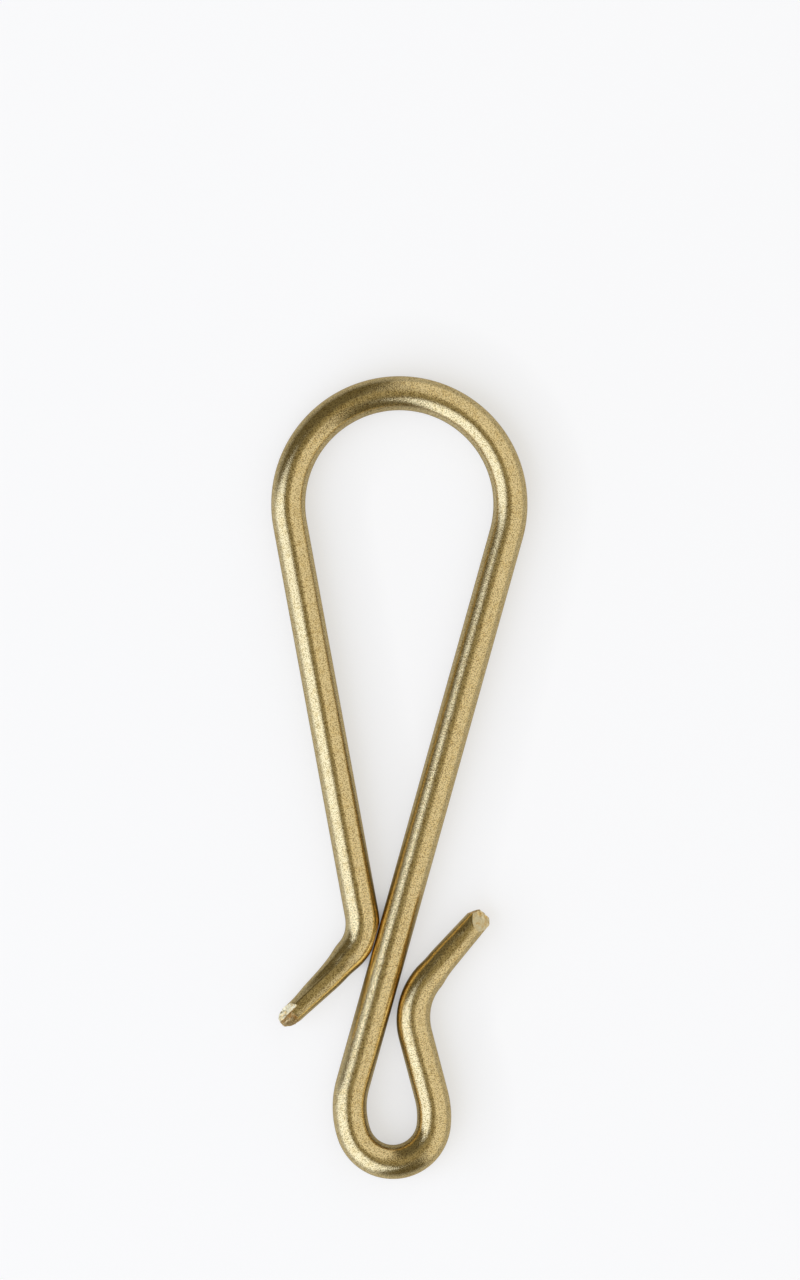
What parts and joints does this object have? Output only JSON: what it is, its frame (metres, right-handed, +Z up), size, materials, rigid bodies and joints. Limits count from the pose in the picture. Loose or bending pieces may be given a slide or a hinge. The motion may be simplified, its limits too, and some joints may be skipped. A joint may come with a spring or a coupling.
{
  "type": "wire key hook",
  "caption": "Flat key hook bent from one round brass wire: a large sprung loop clips over a belt or pocket edge, and a small sprung loop at the other end holds a key ring.",
  "frame": {"origin": "on the ground plane, below the middle of the hook's outline as it lies flat", "axes": "+Y from the small key bow to the large belt bow, +X towards the open side of the small bow, +Z up out of the plane that the wire is bent in"},
  "size_m": [0.03, 0.094, 0.004],
  "materials": {
    "brass_wire": "raw brass wire, tumbled to a fine satin grain, with tool marks at the bends and nipped ends"
  },
  "bodies": {
    "stem": {"stem": "brass_wire", "belt_bow": "brass_wire", "stem_shoulder": "brass_wire", "key_bow": "brass_wire"},
    "belt_gate": {"belt_leg": "brass_wire", "belt_knee": "brass_wire", "belt_tip": "brass_wire"},
    "key_gate": {"leg_shoulder": "brass_wire", "key_leg": "brass_wire", "key_knee": "brass_wire", "key_tip": "brass_wire"}
  },
  "joints": [
    {"name": "belt_spring", "type": "hinge", "parent": "stem", "child": "belt_gate", "pos_m": [-0.0019, 0.0359, 0.002], "axis": [0, 0, -1], "range_deg": [0, 7], "stiffness_Nm_per_rad": 20, "deforming": ["belt_bow"]},
    {"name": "key_spring", "type": "hinge", "parent": "stem", "child": "key_gate", "pos_m": [-0.001, -0.042, 0.002], "axis": [0, 0, -1], "range_deg": [-1.5, 3], "stiffness_Nm_per_rad": 55, "deforming": ["key_bow"]}
  ]
}
